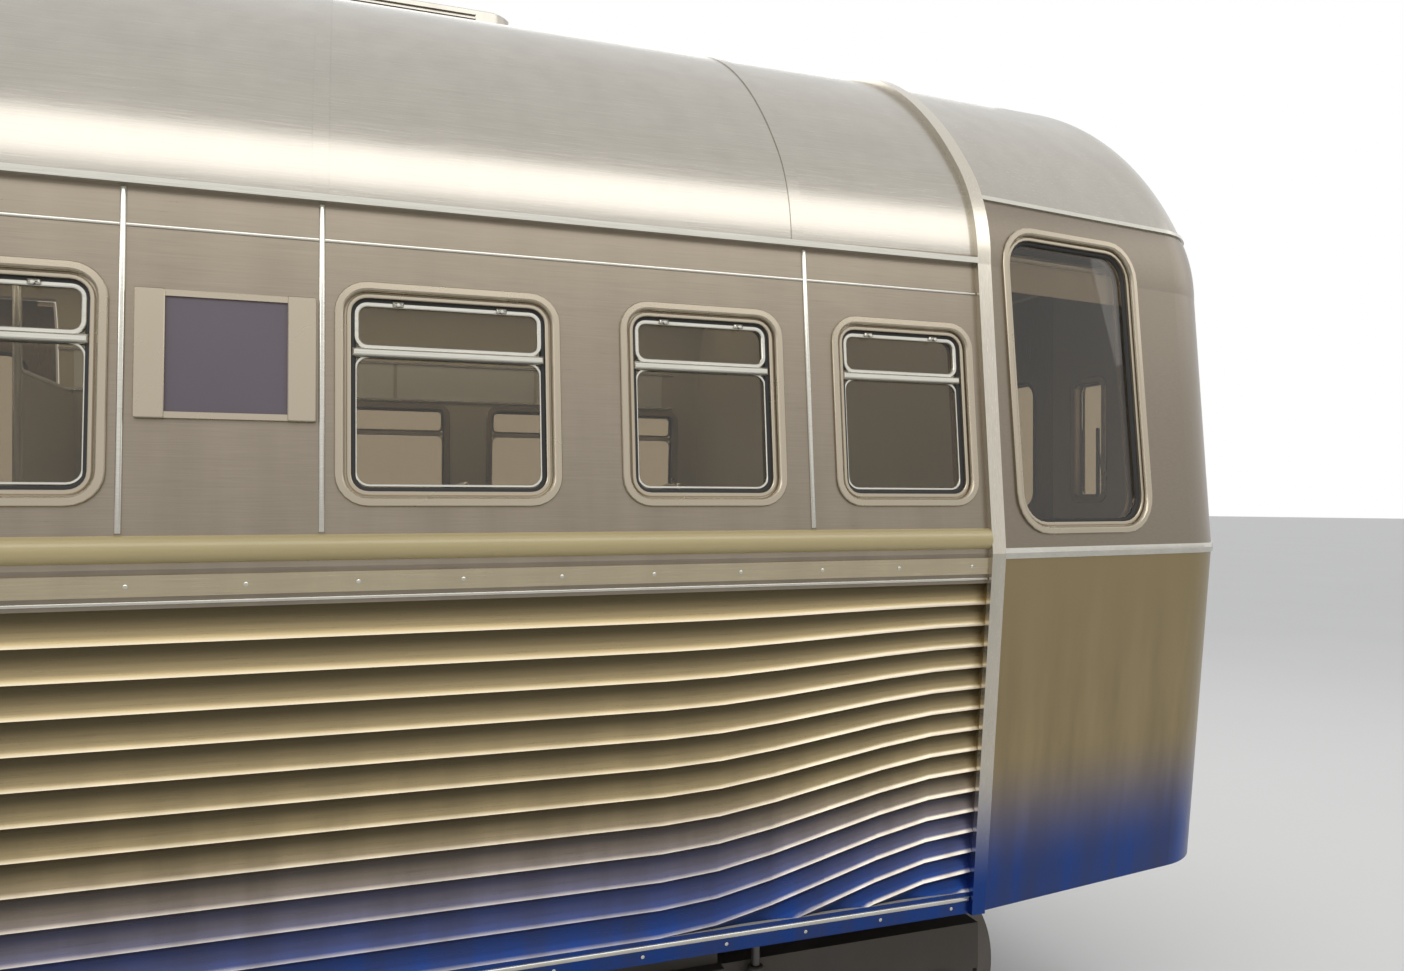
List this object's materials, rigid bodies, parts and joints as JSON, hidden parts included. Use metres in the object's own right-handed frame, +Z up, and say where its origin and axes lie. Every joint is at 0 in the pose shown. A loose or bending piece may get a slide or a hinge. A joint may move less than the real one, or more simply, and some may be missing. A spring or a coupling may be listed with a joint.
{
  "type": "elevated railway metro car",
  "caption": "Stainless elevated-railway metro car with fluted sides, rounded ends, folding side doors and two swivelling bogies.",
  "frame": {"origin": "midway along and across the car, level with the bottoms of the wheel flanges", "axes": "+X along the car towards its front end, +Y to its left, +Z up"},
  "size_m": [14.63, 2.8848, 3.7199],
  "materials": {
    "fluted_steel": "satin fluted stainless sheet with a warm cast",
    "smooth_steel": "smooth polished stainless sheet",
    "bright_trim": "bright drawn window and belt trim",
    "cream_rail": "cream enamel on the belt rail",
    "window_glass": "clear safety glass",
    "blank_sign": "dark blank sign panel in a pale frame",
    "floor_covering": "sheet floor covering",
    "liner": "enamelled ceiling and bulkhead panels",
    "light_cover": "milk-white light covers",
    "seat_shell": "moulded seats",
    "pole_steel": "stainless grab poles",
    "underbody": "black underframe paint",
    "running_gear": "cast and forged steel, dull brown-grey",
    "wheel_steel": "forged steel with bright treads",
    "leaf_steel": "stainless door leaves with glass panes",
    "lens": "clear lamp glass"
  },
  "bodies": {
    "carbody": {"air_tanks": "underbody", "anticlimbers": "underbody", "battery_box": "underbody", "belt_rails": "cream_rail", "bolsters": "underbody", "bulkheads": "liner", "cab_desks": "liner", "ceiling": "liner", "ceiling_lights": "light_cover", "centre_sill": "underbody", "compressor": "underbody", "control_box": "underbody", "converter_box": "underbody", "corner_posts": "smooth_steel", "cross_members": "underbody", "draft_gears": "running_gear", "end_front": "smooth_steel", "end_rear": "smooth_steel", "floor": "floor_covering", "gutters": "bright_trim", "lamp_housings": "bright_trim", "lamp_lenses": "lens", "poles": "pole_steel", "resistor_box": "underbody", "roof": "smooth_steel", "roof_vents": "smooth_steel", "screens": "liner", "seat_backs": "seat_shell", "seat_cushions": "seat_shell", "seat_pedestals": "pole_steel", "side_left": "fluted_steel", "side_right": "fluted_steel", "side_signs": "blank_sign", "side_sills": "blank_sign", "window_frames": "bright_trim", "window_glass": "window_glass"},
    "bogie_front": {"bogie_frame_front": "running_gear", "traction_motors_front": "running_gear"},
    "bogie_rear": {"bogie_frame_rear": "running_gear", "traction_motors_rear": "running_gear"},
    "coupler_front": {"coupler_front": "running_gear"},
    "coupler_rear": {"coupler_rear": "running_gear"},
    "door_left_front_aft": {"door_left_front_aft": "leaf_steel"},
    "door_left_front_fore": {"door_left_front_fore": "leaf_steel"},
    "door_left_rear_aft": {"door_left_rear_aft": "leaf_steel"},
    "door_left_rear_fore": {"door_left_rear_fore": "leaf_steel"},
    "door_right_front_aft": {"door_right_front_aft": "leaf_steel"},
    "door_right_front_fore": {"door_right_front_fore": "leaf_steel"},
    "door_right_rear_aft": {"door_right_rear_aft": "leaf_steel"},
    "door_right_rear_fore": {"door_right_rear_fore": "leaf_steel"},
    "end_door_front": {"end_door_front": "leaf_steel"},
    "end_door_rear": {"end_door_rear": "leaf_steel"},
    "wheelset_front_inner": {"wheelset_front_inner": "wheel_steel"},
    "wheelset_front_outer": {"wheelset_front_outer": "wheel_steel"},
    "wheelset_rear_inner": {"wheelset_rear_inner": "wheel_steel"},
    "wheelset_rear_outer": {"wheelset_rear_outer": "wheel_steel"}
  },
  "joints": [
    {"name": "bogie_front_yaw", "type": "hinge", "parent": "carbody", "child": "bogie_front", "pos_m": [5.131, 0, 0.8], "axis": [0, 0, 1], "range_deg": [-10, 10]},
    {"name": "wheelset_front_outer_spin", "type": "hinge", "parent": "bogie_front", "child": "wheelset_front_outer", "pos_m": [6.1215, 0, 0.3825], "axis": [0, 1, 0], "continuous": true},
    {"name": "wheelset_front_inner_spin", "type": "hinge", "parent": "bogie_front", "child": "wheelset_front_inner", "pos_m": [4.1405, 0, 0.3825], "axis": [0, 1, 0], "continuous": true},
    {"name": "coupler_front_swing", "type": "hinge", "parent": "carbody", "child": "coupler_front", "pos_m": [6.62, 0, 0.64], "axis": [0, 0, 1], "range_deg": [-20, 20]},
    {"name": "end_door_front_hinge", "type": "hinge", "parent": "carbody", "child": "end_door_front", "pos_m": [7.092, 0.364, 1.115], "axis": [0, 0, -1], "range_deg": [0, 90]},
    {"name": "bogie_rear_yaw", "type": "hinge", "parent": "carbody", "child": "bogie_rear", "pos_m": [-5.131, 0, 0.8], "axis": [0, 0, 1], "range_deg": [-10, 10]},
    {"name": "wheelset_rear_outer_spin", "type": "hinge", "parent": "bogie_rear", "child": "wheelset_rear_outer", "pos_m": [-6.1215, 0, 0.3825], "axis": [0, 1, 0], "continuous": true},
    {"name": "wheelset_rear_inner_spin", "type": "hinge", "parent": "bogie_rear", "child": "wheelset_rear_inner", "pos_m": [-4.1405, 0, 0.3825], "axis": [0, 1, 0], "continuous": true},
    {"name": "coupler_rear_swing", "type": "hinge", "parent": "carbody", "child": "coupler_rear", "pos_m": [-6.62, 0, 0.64], "axis": [0, 0, 1], "range_deg": [-20, 20]},
    {"name": "end_door_rear_hinge", "type": "hinge", "parent": "carbody", "child": "end_door_rear", "pos_m": [-7.092, -0.364, 1.115], "axis": [0, 0, -1], "range_deg": [0, 90]},
    {"name": "door_right_front_fore_hinge", "type": "hinge", "parent": "carbody", "child": "door_right_front_fore", "pos_m": [3.084, -1.285, 1.115], "axis": [0, 0, -1], "range_deg": [0, 90]},
    {"name": "door_right_front_aft_hinge", "type": "hinge", "parent": "carbody", "child": "door_right_front_aft", "pos_m": [1.816, -1.285, 1.115], "axis": [0, 0, 1], "range_deg": [0, 90]},
    {"name": "door_right_rear_fore_hinge", "type": "hinge", "parent": "carbody", "child": "door_right_rear_fore", "pos_m": [-1.816, -1.285, 1.115], "axis": [0, 0, -1], "range_deg": [0, 90]},
    {"name": "door_right_rear_aft_hinge", "type": "hinge", "parent": "carbody", "child": "door_right_rear_aft", "pos_m": [-3.084, -1.285, 1.115], "axis": [0, 0, 1], "range_deg": [0, 90]},
    {"name": "door_left_front_fore_hinge", "type": "hinge", "parent": "carbody", "child": "door_left_front_fore", "pos_m": [3.084, 1.285, 1.115], "axis": [0, 0, 1], "range_deg": [0, 90]},
    {"name": "door_left_front_aft_hinge", "type": "hinge", "parent": "carbody", "child": "door_left_front_aft", "pos_m": [1.816, 1.285, 1.115], "axis": [0, 0, -1], "range_deg": [0, 90]},
    {"name": "door_left_rear_fore_hinge", "type": "hinge", "parent": "carbody", "child": "door_left_rear_fore", "pos_m": [-1.816, 1.285, 1.115], "axis": [0, 0, 1], "range_deg": [0, 90]},
    {"name": "door_left_rear_aft_hinge", "type": "hinge", "parent": "carbody", "child": "door_left_rear_aft", "pos_m": [-3.084, 1.285, 1.115], "axis": [0, 0, -1], "range_deg": [0, 90]}
  ],
  "couplings": [
    {"joint": "door_right_front_fore_hinge", "follows": "door_right_front_aft_hinge", "ratio": 1},
    {"joint": "door_right_rear_fore_hinge", "follows": "door_right_rear_aft_hinge", "ratio": 1},
    {"joint": "door_left_front_fore_hinge", "follows": "door_left_front_aft_hinge", "ratio": 1},
    {"joint": "door_left_rear_fore_hinge", "follows": "door_left_rear_aft_hinge", "ratio": 1}
  ]
}
